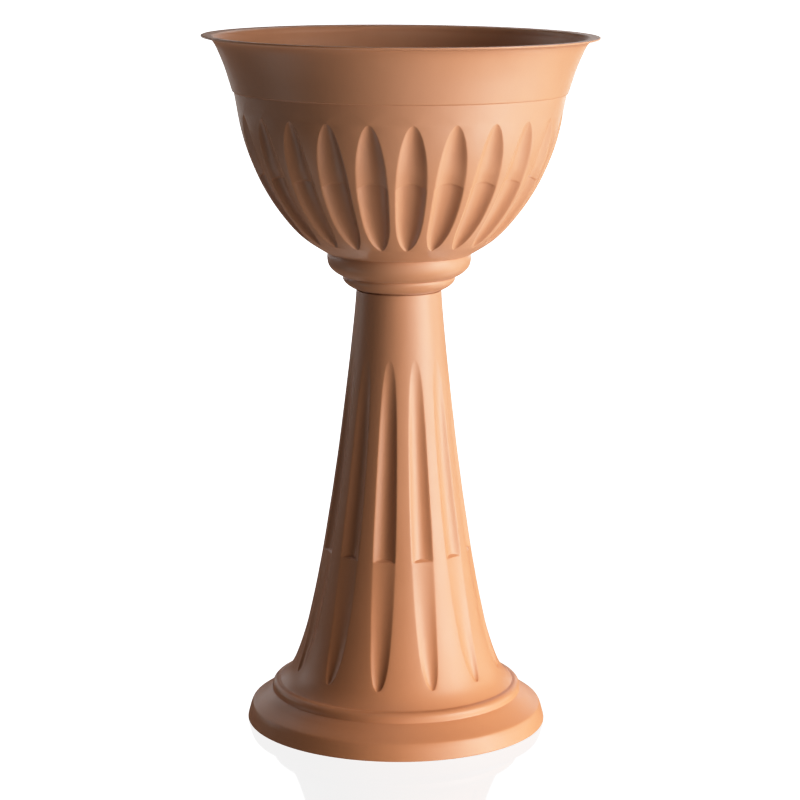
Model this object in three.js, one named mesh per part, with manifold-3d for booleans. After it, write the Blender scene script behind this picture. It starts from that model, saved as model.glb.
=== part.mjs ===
// Column vase: a fluted flower bowl on a fluted, bell-footed column, moulded in thin plastic.
// Millimetres, +Z up. The origin is the centre of the foot, on the ground plane.
// Azimuth 0 faces -Y, and azimuth grows towards +X.
import * as THREE from "three";
import { mergeVertices } from "three/addons/utils/BufferGeometryUtils.js";
import Module from "manifold-3d";

const wasm = await Module();
wasm.setup();

// ---------------------------------------------------------------- driving dimensions
const WALL = 3.0; // moulded wall of the bowl and of the column
const RIM_Z = 710.0; // top of the rim flange
const RIM_R = 200.2; // outer edge of the rim flange
const RIM_INNER_R = 187.0; // where the flat top of the flange turns down into the bowl
const FLANGE_T = 2.4; // thickness of the flange at its edge
const BAND_STEP_Z = 653.8; // foot of the plain band round the bowl, a 1.6 mm step
const FLOOR_TOP_Z = 497.0; // top of the bowl's floor
const FLOOR_T = 3.5;
const COLLAR_FOOT_Z = 454.6; // lower lip of the collar under the bowl
const COLLAR_LIP_R = 46.6;
const COLLAR_LIP_INNER_R = 45.0;

const BOWL_FLUTES = 24;
const BOWL_FLUTE_PHASE = 4.5; // degrees
const BOWL_FLUTE_TOP_Z = 634.0;
const BOWL_FLUTE_FOOT_Z = 504.6;
const BOWL_LEDGE_Z = 571.0; // small step across each flute of the bowl
const BOWL_LEDGE_ARCH = 3.2; // rise of that step in the middle of the flute
const COLUMN_FLUTES = 12;
const COLUMN_FLUTE_PHASE = -9.9;
const COLUMN_FLUTE_TOP_Z = 387.0;
const COLUMN_FLUTE_FOOT_Z = 57.6;
const COLUMN_LEDGE_Z = 183.4; // shelf across each flute of the column
const COLUMN_LEDGE_ARCH = 3.4;
// Section of a flute: depth times 1 - |x|^power, x from -1 to 1 across it.
const BOWL_FLUTE_POWER = [2.7, 2.0]; // below and above the step
const COLUMN_FLUTE_POWER = [2.0, 2.0];

const HEAD_TOP_Z = 493.2; // top edge of the column's head, just under the bowl's floor
const HEAD_R = 42.6;
const GROOVE_R = 41.4; // groove under the collar, seen as a dark line
const GROOVE_FOOT_Z = 452.6;
const HEAD_DISC_TOP_Z = 481.5;
const HEAD_DISC_T = 3.5;
const SOCKET_INNER_R = 43.2; // ring under the bowl's floor that slips over the head
const SOCKET_OUTER_R = 45.8;
const SOCKET_FOOT_Z = 476.0;
const SOCKET_RIBS = 8;
const SOCKET_RIB_T = 2.4;

const BOLT_HOLE_R = 5.5;
const BOLT_R = 4.9;
const BOLT_TIP_Z = 462.0;
const KNOB_R = 17.0;
const KNOB_FOOT_Z = 500.2;
const KNOB_TOP_Z = 514.0;
const WASHER_R = 16.0;
const WASHER_HOLE_R = 5.3;
const WASHER_T = 2.6;
const NUT_FLATS = 17.0;
const NUT_BORE_R = 5.2;
const NUT_FOOT_Z = 467.7;
const NUT_T = 8.0;
const POCKET_FLATS = 17.7;
const POCKET_FOOT_Z = 466.0;
const POCKET_TOP_Z = 476.0;
const BOSS_R = 14.0;

const DRAINS = 4;
const DRAIN_PITCH_R = 29.0; // the drain holes' distance from the axis
const DRAIN_HOLE_R = 6.0;
const PLUG_HEAD_R = 9.0;
const PLUG_STEM_R = 5.7;
const PLUG_TIP_Z = 486.5;
const HEAD_DRAIN_R = 7.0;

const SMOOTH = 48; // facets round a plain turned surface
const SMALL = 36; // facets round the collar and the neck

// ---------------------------------------------------------------- profiles, as [z, r] from the top down
const BAND = [[704.0, 188.6], [700.0, 186.0], [692.0, 182.3], [684.0, 178.9], [676.0, 175.9], [668.0, 173.4], [660.0, 170.9], [654.2, 169.1]];
const BOWL = [[653.4, 167.5], [640.0, 165.0], [620.0, 161.6], [600.0, 156.3], [580.0, 148.8], [560.0, 139.3], [540.0, 127.0], [520.0, 111.4], [510.0, 101.7], [502.0, 91.6], [496.0, 82.3], [491.4, 74.6]];
const COLLAR = [[490.2, 73.2], [485.0, 72.9], [480.5, 72.3], [476.5, 70.4], [472.5, 67.0], [469.3, 62.4], [467.2, 58.0], [466.0, 57.4], [463.0, 56.3], [460.0, 54.1], [457.4, 50.6], [455.4, 47.6]];
const COLUMN = [[454.0, 43.5], [440.0, 44.4], [420.0, 46.2], [400.0, 48.2], [380.0, 50.3], [360.0, 52.6], [340.0, 54.9], [320.0, 57.3], [300.0, 59.7], [280.0, 62.3], [260.0, 65.1], [240.0, 67.9], [220.0, 71.0], [200.0, 74.1], [180.0, 77.3], [160.0, 80.9], [140.0, 84.7], [120.0, 88.9], [100.0, 93.4], [85.0, 97.8], [70.0, 102.9], [60.0, 107.0], [52.0, 111.5], [46.0, 116.4], [42.0, 120.6]];
const FOOT = [[41.2, 123.2], [39.6, 126.2], [36.8, 128.4], [33.4, 129.2], [31.4, 129.4], [30.0, 131.9], [25.0, 138.6], [20.0, 145.8], [17.4, 149.4], [14.4, 151.6], [8.0, 153.4], [1.2, 155.3]];

// Smooth curve through a profile (monotone cubic), giving the radius and the slope dr/dz at a height.
function curve(points) {
  const p = [...points].sort((a, b) => a[0] - b[0]);
  const n = p.length;
  const d = [];
  const m = new Array(n);
  for (let i = 0; i < n - 1; i++) d.push((p[i + 1][1] - p[i][1]) / (p[i + 1][0] - p[i][0]));
  m[0] = d[0];
  m[n - 1] = d[n - 2];
  for (let i = 1; i < n - 1; i++) m[i] = d[i - 1] * d[i] <= 0 ? 0 : (d[i - 1] + d[i]) / 2;
  for (let i = 0; i < n - 1; i++) {
    if (d[i] === 0) { m[i] = 0; m[i + 1] = 0; continue; }
    const a = m[i] / d[i], b = m[i + 1] / d[i], s = a * a + b * b;
    if (s > 9) { const t = 3 / Math.sqrt(s); m[i] = t * a * d[i]; m[i + 1] = t * b * d[i]; }
  }
  return (z) => {
    let i = 0;
    while (i < n - 2 && z > p[i + 1][0]) i++;
    const h = p[i + 1][0] - p[i][0];
    const t = (z - p[i][0]) / h;
    const t2 = t * t, t3 = t2 * t;
    const r = (2 * t3 - 3 * t2 + 1) * p[i][1] + (t3 - 2 * t2 + t) * h * m[i] + (-2 * t3 + 3 * t2) * p[i + 1][1] + (t3 - t2) * h * m[i + 1];
    const s = ((6 * t2 - 6 * t) * p[i][1] + (3 * t2 - 4 * t + 1) * h * m[i] + (-6 * t2 + 6 * t) * p[i + 1][1] + (3 * t2 - 2 * t) * h * m[i + 1]) / h;
    return [r, s];
  };
}
const bowlCurve = curve(BOWL);
const bandCurve = curve(BAND);
const columnCurve = curve(COLUMN);

// Table lookup, straight between entries.
function table(rows, z) {
  const p = rows;
  if (z <= p[0][0]) return p[0][1];
  for (let i = 0; i < p.length - 1; i++)
    if (z <= p[i + 1][0]) return p[i][1] + ((p[i + 1][1] - p[i][1]) * (z - p[i][0])) / (p[i + 1][0] - p[i][0]);
  return p[p.length - 1][1];
}

// ---------------------------------------------------------------- flutes
// Full width of a flute in degrees, and its greatest depth in millimetres, by height.
const BOWL_FLUTE_WIDTH = [[504.6, 0.8], [507.5, 4.9], [510.0, 6.9], [513.0, 8.4], [517.0, 9.8], [522.0, 10.9], [528.0, 11.6], [536.0, 12.0], [550.0, 12.1], [571.0, 11.8], [590.0, 10.8], [605.0, 9.2], [614.0, 7.8], [622.0, 6.1], [628.0, 4.3], [634.0, 0.8]];
const BOWL_FLUTE_DEPTH = [[504.6, 0.0], [507.0, 2.1], [510.0, 3.6], [515.0, 4.9], [522.0, 5.9], [532.0, 6.6], [545.0, 7.1], [560.0, 7.4], [571.0, 7.5], [571.01, 5.0], [580.0, 5.4], [590.0, 5.8], [600.0, 5.9], [610.0, 5.3], [618.0, 4.3], [624.0, 3.1], [629.0, 1.8], [634.0, 0.0]];
// The back of the flutes is shallower, so the wall is a little thinner there.
const BOWL_BACK_DEPTH = [[504.6, 0.0], [507.0, 2.0], [510.0, 3.4], [515.0, 4.7], [522.0, 5.5], [532.0, 6.0], [545.0, 6.3], [560.0, 6.4], [571.0, 6.3], [571.01, 4.6], [580.0, 4.8], [590.0, 5.0], [600.0, 5.0], [610.0, 4.4], [620.0, 2.7], [628.0, 1.1], [634.0, 0.0]];
const COLUMN_FLUTE_WIDTH = [[57.6, 0.8], [59.6, 3.4], [61.5, 4.8], [64.5, 6.2], [69.0, 7.7], [76.0, 9.3], [90.0, 11.3], [110.0, 13.1], [135.0, 14.9], [160.0, 16.2], [183.4, 17.2], [220.0, 18.1], [260.0, 18.3], [300.0, 18.0], [325.0, 17.3], [345.0, 16.0], [360.0, 14.4], [371.0, 12.2], [378.0, 9.8], [383.0, 6.9], [387.0, 0.8]];
const COLUMN_FLUTE_DEPTH = [[57.6, 0.0], [60.0, 1.5], [63.0, 2.3], [68.0, 2.8], [76.0, 3.1], [90.0, 3.1], [110.0, 2.9], [135.0, 2.6], [160.0, 2.3], [183.4, 2.1], [183.41, 5.4], [220.0, 5.2], [260.0, 4.9], [300.0, 4.2], [325.0, 3.5], [345.0, 2.6], [360.0, 1.8], [371.0, 1.1], [380.0, 0.45], [387.0, 0.0]];

// ---------------------------------------------------------------- rings and shells
const DEG = Math.PI / 180;
// A ring is { a: azimuths in degrees, p: points }. Every ring starts near azimuth 0 and goes round once.
function plainRing(z, r, n = SMOOTH) {
  const a = [], p = [];
  for (let i = 0; i < n; i++) {
    const t = (360 * i) / n;
    a.push(t);
    p.push([r * Math.sin(t * DEG), -r * Math.cos(t * DEG), z]);
  }
  return { a, p };
}
// A ring in a fluted zone: columns follow the flutes' edges. fractions are the columns in half flute widths.
function flutedRing(spec, z, inset, fractions, ledge = 0) {
  const [r, slope] = spec.curve(z);
  const norm = Math.hypot(1, slope);
  const nr = 1 / norm, nz = -slope / norm;
  const width = table(spec.width, z) * spec.widen;
  const depth = table(spec.depth, z + ledge);
  const above = z + ledge > spec.ledge + 0.005;
  const pitch = 360 / spec.count;
  const a = [], p = [];
  const first = -Math.ceil(spec.phase / pitch) - 1;
  const columns = [];
  for (let k = first; k < first + spec.count; k++) {
    const centre = spec.phase + k * pitch;
    for (const f of fractions) {
      const rib = Math.abs(f) > 1;
      const t = rib ? centre + (Math.sign(f) * pitch) / 2 : centre + (f * width) / 2;
      const scoop = rib ? 0 : 1 - Math.abs(f) ** spec.power[above ? 1 : 0];
      const lift = rib ? 0 : 1 - f * f;
      const d = inset + depth * scoop;
      const reach = above ? Math.exp(-(((z - spec.ledge) / 9) ** 2)) : 0.22 * Math.exp(-(((z - spec.ledge) / 6) ** 2));
      columns.push([t, r - d * nr, z - d * nz + (inset ? 0 : spec.arch * lift * reach)]);
    }
  }
  for (const [t, rr, zz] of columns) {
    a.push(t);
    p.push([rr * Math.sin(t * DEG), -rr * Math.cos(t * DEG), zz]);
  }
  return { a, p, fluted: true };
}
const FACE = [-1, -0.55, 0, 0.55, 1]; // columns across an outer flute
const FACE_RIB = [-1, -0.55, 0, 0.55, 1, 2]; // the same, with one on the rib beside it
const BACK = [-1, -0.5, 0.5, 1]; // columns across the back of a flute
const BACK_RIB = [-1, -0.5, 0.5, 1, 2];

// Closed shell through rings that run once round the section, the last joined to the first.
function shell(rings) {
  const position = [];
  const starts = [];
  for (const ring of rings) {
    starts.push(position.length / 3);
    for (const q of ring.p) position.push(...q);
  }
  const index = [];
  const strip = (A, sa, B, sb) => {
    const na = A.p.length, nb = B.p.length;
    if (na === nb && A.fluted && B.fluted) {
      for (let i = 0; i < na; i++) {
        const j = (i + 1) % na;
        index.push(sa + i, sb + i, sb + j, sa + i, sb + j, sa + j);
      }
      return;
    }
    // Walk round both rings by azimuth, always taking the shorter step.
    const turn = (R, i) => R.a[i % R.a.length] + 360 * Math.floor(i / R.a.length);
    let best = 0;
    for (let j = 0; j < nb; j++)
      for (const w of [-360, 0, 360])
        if (Math.abs(turn(B, j) + w - A.a[0]) < Math.abs(turn(B, best % nb) + 360 * Math.round((A.a[0] - turn(B, best % nb)) / 360) - A.a[0])) best = j;
    const shift = 360 * Math.round((A.a[0] - B.a[best]) / 360);
    let i = 0, j = best;
    while (i < na || j < best + nb) {
      const nextA = turn(A, i + 1), nextB = turn(B, j + 1) + shift;
      if (j >= best + nb || (i < na && nextA <= nextB)) {
        index.push(sa + (i % na), sb + (j % nb), sa + ((i + 1) % na));
        i++;
      } else {
        index.push(sa + (i % na), sb + (j % nb), sb + ((j + 1) % nb));
        j++;
      }
    }
  };
  rings.forEach((ring, k) => {
    const l = (k + 1) % rings.length;
    strip(ring, starts[k], rings[l], starts[l]);
  });
  const g = new THREE.BufferGeometry();
  g.setAttribute("position", new THREE.Float32BufferAttribute(position, 3));
  g.setIndex(index);
  return g;
}

// ---------------------------------------------------------------- booleans
function solid(geometry) {
  const g = geometry.clone();
  g.deleteAttribute("normal");
  g.deleteAttribute("uv");
  const m = mergeVertices(g, 1e-4);
  let s = new wasm.Manifold(new wasm.Mesh({ numProp: 3, vertProperties: new Float32Array(m.attributes.position.array), triVerts: new Uint32Array(m.index.array) }));
  if (s.volume() < 0) {
    const t = new Uint32Array(m.index.array);
    for (let i = 0; i < t.length; i += 3) [t[i + 1], t[i + 2]] = [t[i + 2], t[i + 1]];
    s = new wasm.Manifold(new wasm.Mesh({ numProp: 3, vertProperties: new Float32Array(m.attributes.position.array), triVerts: t }));
  }
  return s;
}
function geometryOf(s) {
  const m = s.getMesh();
  const v = new Float32Array(m.numVert * 3);
  for (let i = 0; i < m.numVert; i++) for (let k = 0; k < 3; k++) v[3 * i + k] = m.vertProperties[i * m.numProp + k];
  const g = new THREE.BufferGeometry();
  g.setAttribute("position", new THREE.BufferAttribute(v, 3));
  g.setIndex(new THREE.BufferAttribute(new Uint32Array(m.triVerts), 1));
  g.computeVertexNormals();
  return g;
}
function rod(r, z0, z1, x = 0, y = 0, n = 24) {
  const g = new THREE.CylinderGeometry(r, r, z1 - z0, n);
  g.rotateX(Math.PI / 2);
  g.translate(x, y, (z0 + z1) / 2);
  return g;
}
function turned(points, n = SMALL) {
  // points: [r, z] pairs of a closed or axis-to-axis section
  const g = new THREE.LatheGeometry(points.map(([r, z]) => new THREE.Vector2(r, z)), n);
  g.rotateX(Math.PI / 2);
  return g;
}
const polar = (r, degrees) => [r * Math.sin(degrees * DEG), -r * Math.cos(degrees * DEG)];

// ---------------------------------------------------------------- materials
const terracotta = new THREE.MeshStandardMaterial({ color: 0xc9875f, roughness: 0.55, metalness: 0.0 });
const darkPlastic = new THREE.MeshStandardMaterial({ color: 0x8a5136, roughness: 0.5, metalness: 0.0 });
const rubber = new THREE.MeshStandardMaterial({ color: 0x2b2623, roughness: 0.85, metalness: 0.0 });
const steel = new THREE.MeshStandardMaterial({ color: 0xa9abad, roughness: 0.35, metalness: 1.0 });

const vase = new THREE.Group();
function add(name, geometry, material, parent = vase) {
  const mesh = new THREE.Mesh(geometry, material);
  mesh.name = name;
  parent.add(mesh);
  return mesh;
}

// ---------------------------------------------------------------- bowl
function inset(curveOf, z, t) {
  const [r, s] = curveOf(z);
  const n = Math.hypot(1, s);
  return [z + (t * s) / n, r - t / n];
}
const bowlFace = { curve: bowlCurve, width: BOWL_FLUTE_WIDTH, depth: BOWL_FLUTE_DEPTH, count: BOWL_FLUTES, phase: BOWL_FLUTE_PHASE, ledge: BOWL_LEDGE_Z, arch: BOWL_LEDGE_ARCH, power: BOWL_FLUTE_POWER, widen: 1 };
const bowlBack = { ...bowlFace, depth: BOWL_BACK_DEPTH, power: [2, 2], widen: 1.12 };
const bowlRings = [];
{
  const R = bowlRings;
  // flange and plain band
  R.push(plainRing(RIM_Z, RIM_INNER_R), plainRing(RIM_Z, RIM_R - 0.6), plainRing(RIM_Z - 0.7, RIM_R), plainRing(RIM_Z - FLANGE_T + 0.4, RIM_R - 0.1), plainRing(RIM_Z - FLANGE_T, RIM_R - 1.2), plainRing(706.4, 192.4));
  for (const z of [703.6, 699.0, 690.0, 678.0, 666.0]) R.push(plainRing(z, bandCurve(z)[0]));
  R.push(plainRing(BAND_STEP_Z + 0.5, 169.2), plainRing(BAND_STEP_Z - 0.3, 168.7), plainRing(BAND_STEP_Z - 0.5, 167.5));
  R.push(plainRing(642.0, bowlCurve(642.0)[0]));
  // fluted wall
  for (const z of [BOWL_FLUTE_TOP_Z, 628.0, 618.0, 605.0, 590.0]) R.push(flutedRing(bowlFace, z, 0, FACE));
  R.push(flutedRing(bowlFace, BOWL_LEDGE_Z + 0.4, 0, FACE, 0.4), flutedRing(bowlFace, BOWL_LEDGE_Z, 0, FACE));
  for (const z of [552.0, 536.0, 523.0, 515.0, 509.0, 506.4, BOWL_FLUTE_FOOT_Z]) R.push(flutedRing(bowlFace, z, 0, FACE));
  // underside and collar
  for (const z of [500.0, 495.5]) R.push(plainRing(z, bowlCurve(z)[0]));
  R.push(plainRing(491.6, 75.0, SMALL));
  for (const [z, r] of COLLAR) if (z !== 485.0) R.push(plainRing(z, r, SMALL));
  R.push(plainRing(COLLAR_FOOT_Z, COLLAR_LIP_R, SMALL), plainRing(COLLAR_FOOT_Z, COLLAR_LIP_INNER_R, SMALL));
  // inside of the collar, up to the floor
  for (const [z, r] of [[457.6, 45.4], [460.4, 49.4], [463.8, 52.6], [467.6, 53.8], [470.2, 57.2], [474.0, 63.2], [478.0, 67.2], [482.0, 69.4], [FLOOR_TOP_Z - FLOOR_T, 69.9]]) R.push(plainRing(z, r, SMALL));
  // floor, with the bolt's hole
  R.push(plainRing(FLOOR_TOP_Z - FLOOR_T, BOLT_HOLE_R, 24), plainRing(FLOOR_TOP_Z, BOLT_HOLE_R, 24), plainRing(FLOOR_TOP_Z, 76.0, SMALL));
  R.push(plainRing(498.6, 81.6, SMOOTH));
  // inside of the wall
  for (const z of [BOWL_FLUTE_FOOT_Z - 1, 512.0, 527.0, 548.0, 570.0, 594.0, 615.0, BOWL_FLUTE_TOP_Z]) R.push(flutedRing(bowlBack, z, WALL, BACK));
  for (const z of [650.0]) { const q = inset(bowlCurve, z, WALL); R.push(plainRing(q[0], q[1])); }
  for (const z of [662.0, 676.0, 690.0, 699.0]) { const q = inset(bandCurve, z, WALL); R.push(plainRing(q[0], q[1])); }
  R.push(plainRing(706.4, 184.3), plainRing(709.2, 185.4));
}
let bowl = solid(shell(bowlRings));
// socket ring under the floor, ribs from it to the collar
const sink = 1.2; // how far the ring and the ribs run into the floor and the collar
let socket = solid(rod(SOCKET_OUTER_R, SOCKET_FOOT_Z, FLOOR_TOP_Z - FLOOR_T + sink, 0, 0, SMALL)).subtract(solid(rod(SOCKET_INNER_R, SOCKET_FOOT_Z - 1, FLOOR_TOP_Z - FLOOR_T + sink + 1, 0, 0, SMALL)));
for (let i = 0; i < SOCKET_RIBS; i++) {
  const shape = new THREE.Shape();
  shape.moveTo(SOCKET_OUTER_R - 1.0, 478.5);
  shape.lineTo(68.2, 478.5);
  shape.lineTo(70.6, 482.5);
  shape.lineTo(70.9, FLOOR_TOP_Z - FLOOR_T + sink);
  shape.lineTo(SOCKET_OUTER_R - 1.0, FLOOR_TOP_Z - FLOOR_T + sink);
  shape.closePath();
  const g = new THREE.ExtrudeGeometry(shape, { depth: SOCKET_RIB_T, bevelEnabled: false });
  g.translate(0, 0, -SOCKET_RIB_T / 2);
  g.rotateX(Math.PI / 2);
  g.rotateZ(((360 / SOCKET_RIBS) * i + 22.5) * DEG);
  socket = socket.add(solid(g));
}
bowl = bowl.add(socket);
for (let i = 0; i < DRAINS; i++) {
  const [x, y] = polar(DRAIN_PITCH_R, (360 / DRAINS) * i);
  bowl = bowl.subtract(solid(rod(DRAIN_HOLE_R, FLOOR_TOP_Z - FLOOR_T - 2, FLOOR_TOP_Z + 2, x, y, 20)));
}
add("bowl", geometryOf(bowl), terracotta);

// ---------------------------------------------------------------- column
const columnFace = { curve: columnCurve, width: COLUMN_FLUTE_WIDTH, depth: COLUMN_FLUTE_DEPTH, count: COLUMN_FLUTES, phase: COLUMN_FLUTE_PHASE, ledge: COLUMN_LEDGE_Z, arch: COLUMN_LEDGE_ARCH, power: COLUMN_FLUTE_POWER, widen: 1 };
const columnBack = { ...columnFace, widen: 1.1 };
const columnRings = [];
{
  const R = columnRings;
  R.push(plainRing(HEAD_TOP_Z, HEAD_R - 0.8, SMALL), plainRing(HEAD_TOP_Z - 0.8, HEAD_R, SMALL));
  for (const [z, r] of [[480.0, 42.4], [468.0, GROOVE_R], [GROOVE_FOOT_Z + 0.4, GROOVE_R], [GROOVE_FOOT_Z, GROOVE_R + 0.5], [GROOVE_FOOT_Z - 0.2, 43.3]]) R.push(plainRing(z, r, SMALL));
  for (const z of [451.6, 420.0]) R.push(plainRing(z, columnCurve(z)[0], SMALL));
  for (const z of [COLUMN_FLUTE_TOP_Z, 380.0, 368.0, 350.0, 325.0, 290.0, 250.0, 215.0]) R.push(flutedRing(columnFace, z, 0, FACE_RIB));
  R.push(flutedRing(columnFace, COLUMN_LEDGE_Z + 0.4, 0, FACE_RIB, 0.4), flutedRing(columnFace, COLUMN_LEDGE_Z - 0.4, 0, FACE_RIB));
  for (const z of [160.0, 135.0, 108.0, 86.0, 72.0, 64.0, 60.4, COLUMN_FLUTE_FOOT_Z]) R.push(flutedRing(columnFace, z, 0, FACE_RIB));
  for (const z of [52.0, 46.5, 42.4]) R.push(plainRing(z, columnCurve(z)[0]));
  for (const [z, r] of FOOT) if (z !== 39.6) R.push(plainRing(z, r));
  // bottom edge of the foot, then the inside
  R.push(plainRing(0, 154.2), plainRing(0, 149.4));
  for (const [z, r] of [[12.0, 148.4], [16.4, 145.6], [26.4, 131.6], [29.0, 126.6], [36.0, 124.2], [39.6, 118.8], [46.4, 112.2], [52.0, 107.4]]) R.push(plainRing(z, r));
  for (const z of [COLUMN_FLUTE_FOOT_Z, 72.0, 100.0, 140.0]) R.push(flutedRing(columnBack, z, WALL, BACK_RIB));
  R.push(flutedRing(columnBack, COLUMN_LEDGE_Z - 4.0, WALL, BACK_RIB), flutedRing(columnBack, COLUMN_LEDGE_Z + 0.4, WALL, BACK_RIB, 0.4));
  for (const z of [240.0, 300.0, 350.0, COLUMN_FLUTE_TOP_Z]) R.push(flutedRing(columnBack, z, WALL, BACK_RIB));
  for (const z of [430.0, 446.0]) R.push(plainRing(z, columnCurve(z)[0] - WALL, SMALL));
  R.push(plainRing(GROOVE_FOOT_Z + 0.4, GROOVE_R - WALL + 0.2, SMALL), plainRing(464.0, GROOVE_R - WALL + 0.2, SMALL));
  R.push(plainRing(HEAD_DISC_TOP_Z - HEAD_DISC_T, HEAD_R - WALL, SMALL));
  // head disc with the bolt's hole, then up the inside of the head's rim
  R.push(plainRing(HEAD_DISC_TOP_Z - HEAD_DISC_T, BOLT_HOLE_R, 24), plainRing(HEAD_DISC_TOP_Z, BOLT_HOLE_R, 24), plainRing(HEAD_DISC_TOP_Z, HEAD_R - WALL, SMALL));
  R.push(plainRing(HEAD_TOP_Z, HEAD_R - WALL, SMALL));
}
let column = solid(shell(columnRings));
// boss under the head disc, with a six-sided pocket for the nut
let boss = solid(rod(BOSS_R, POCKET_FOOT_Z, HEAD_DISC_TOP_Z - 1.0, 0, 0, 24));
boss = boss.subtract(solid(rod(POCKET_FLATS / Math.sqrt(3), POCKET_FOOT_Z - 1, POCKET_TOP_Z, 0, 0, 6)));
boss = boss.subtract(solid(rod(BOLT_HOLE_R, POCKET_FOOT_Z - 1, HEAD_DISC_TOP_Z + 1, 0, 0, 24)));
column = column.add(boss);
for (let i = 0; i < DRAINS; i++) {
  const [x, y] = polar(DRAIN_PITCH_R, (360 / DRAINS) * i);
  column = column.subtract(solid(rod(HEAD_DRAIN_R, HEAD_DISC_TOP_Z - HEAD_DISC_T - 2, HEAD_DISC_TOP_Z + 2, x, y, 20)));
}
add("column", geometryOf(column), terracotta);

// ---------------------------------------------------------------- fixing: knob bolt, sealing washer, captive nut
{
  const lobes = 6;
  const shape = new THREE.Shape();
  const steps = 48;
  for (let i = 0; i < steps; i++) {
    const t = (2 * Math.PI * i) / steps;
    const r = KNOB_R - 1.9 + 1.9 * Math.cos(lobes * t);
    if (i === 0) shape.moveTo(r * Math.sin(t), -r * Math.cos(t));
    else shape.lineTo(r * Math.sin(t), -r * Math.cos(t));
  }
  shape.closePath();
  const knob = new THREE.ExtrudeGeometry(shape, { depth: KNOB_TOP_Z - KNOB_FOOT_Z, bevelEnabled: false });
  knob.translate(0, 0, KNOB_FOOT_Z);
  const bolt = solid(knob).add(solid(turned([[0, BOLT_TIP_Z], [BOLT_R - 1.2, BOLT_TIP_Z], [BOLT_R, BOLT_TIP_Z + 1.6], [BOLT_R, KNOB_FOOT_Z + 2], [0, KNOB_FOOT_Z + 2]], 24)));
  add("fixing_bolt", geometryOf(bolt), darkPlastic);

  const washerFoot = FLOOR_TOP_Z + 0.3;
  const washer = solid(rod(WASHER_R, washerFoot, washerFoot + WASHER_T, 0, 0, 36)).subtract(solid(rod(WASHER_HOLE_R, washerFoot - 1, washerFoot + WASHER_T + 1, 0, 0, 24)));
  add("sealing_washer", geometryOf(washer), rubber);

  const nut = solid(rod(NUT_FLATS / Math.sqrt(3), NUT_FOOT_Z, NUT_FOOT_Z + NUT_T, 0, 0, 6)).subtract(solid(rod(NUT_BORE_R, NUT_FOOT_Z - 1, NUT_FOOT_Z + NUT_T + 1, 0, 0, 24)));
  add("captive_nut", geometryOf(nut), steel);
}

// ---------------------------------------------------------------- drain plugs
for (let i = 0; i < DRAINS; i++) {
  const [x, y] = polar(DRAIN_PITCH_R, (360 / DRAINS) * i);
  const foot = FLOOR_TOP_Z + 0.3;
  const g = turned([[0, PLUG_TIP_Z], [PLUG_STEM_R - 1.3, PLUG_TIP_Z], [PLUG_STEM_R, PLUG_TIP_Z + 3.5], [PLUG_STEM_R, foot], [PLUG_HEAD_R, foot], [PLUG_HEAD_R, foot + 1.6], [PLUG_HEAD_R - 2.2, foot + 2.6], [3.2, foot + 2.8], [3.0, foot + 7.0], [2.0, foot + 8.2], [0, foot + 8.4]], 20);
  g.translate(x, y, 0);
  add("drain_plug_" + (i + 1), geometryOf(solid(g)), rubber);
}

export default vase;
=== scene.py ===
import math

import bpy
import numpy as np
from mathutils import Matrix, Vector
from mathutils.geometry import delaunay_2d_cdt


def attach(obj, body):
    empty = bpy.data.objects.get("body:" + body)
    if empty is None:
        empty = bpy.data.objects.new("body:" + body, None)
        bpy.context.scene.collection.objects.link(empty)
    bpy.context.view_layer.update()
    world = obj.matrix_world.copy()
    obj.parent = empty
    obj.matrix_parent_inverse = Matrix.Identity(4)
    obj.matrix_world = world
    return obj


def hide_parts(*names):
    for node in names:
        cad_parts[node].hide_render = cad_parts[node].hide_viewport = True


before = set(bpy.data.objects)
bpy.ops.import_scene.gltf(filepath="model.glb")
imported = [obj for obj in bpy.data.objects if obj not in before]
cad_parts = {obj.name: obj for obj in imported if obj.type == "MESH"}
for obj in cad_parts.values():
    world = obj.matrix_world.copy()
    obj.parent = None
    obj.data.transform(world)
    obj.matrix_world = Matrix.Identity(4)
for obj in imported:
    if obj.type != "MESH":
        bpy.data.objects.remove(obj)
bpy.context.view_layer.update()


MM = 0.001
TAU = 2 * math.pi

# ---------------------------------------------------------------- sizes, millimetres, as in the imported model
WALL = 3.0
RIM_Z, RIM_R, RIM_INNER_R, FLANGE_T = 710.0, 200.2, 187.0, 2.4
BAND_STEP_Z = 653.8
FLOOR_TOP_Z, FLOOR_T = 497.0, 3.5
COLLAR_FOOT_Z, COLLAR_LIP_R, COLLAR_LIP_INNER_R = 454.6, 46.6, 45.0
HEAD_TOP_Z, HEAD_R, HEAD_DISC_TOP_Z, HEAD_DISC_T = 493.2, 42.6, 481.5, 3.5
SOCKET_INNER_R, SOCKET_OUTER_R, SOCKET_FOOT_Z = 43.2, 45.8, 476.0
SOCKET_RIBS, SOCKET_RIB_T = 8, 2.4
GROOVE_R = 41.4
BOLT_HOLE_R, BOLT_R, BOLT_TIP_Z = 5.5, 4.9, 462.0
KNOB_R, KNOB_FOOT_Z, KNOB_TOP_Z = 17.0, 500.2, 514.0
WASHER_R, WASHER_HOLE_R, WASHER_T = 16.0, 5.3, 2.6
NUT_FLATS, NUT_BORE_R, NUT_FOOT_Z, NUT_T = 17.0, 5.2, 467.7, 8.0
POCKET_FLATS, POCKET_FOOT_Z, POCKET_TOP_Z, BOSS_R = 17.7, 466.0, 476.0, 14.0
DRAINS, DRAIN_PITCH_R, DRAIN_HOLE_R, HEAD_DRAIN_R = 4, 29.0, 6.0, 7.0
PLUG_HEAD_R, PLUG_STEM_R, PLUG_TIP_Z = 9.0, 5.7, 486.5

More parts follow.
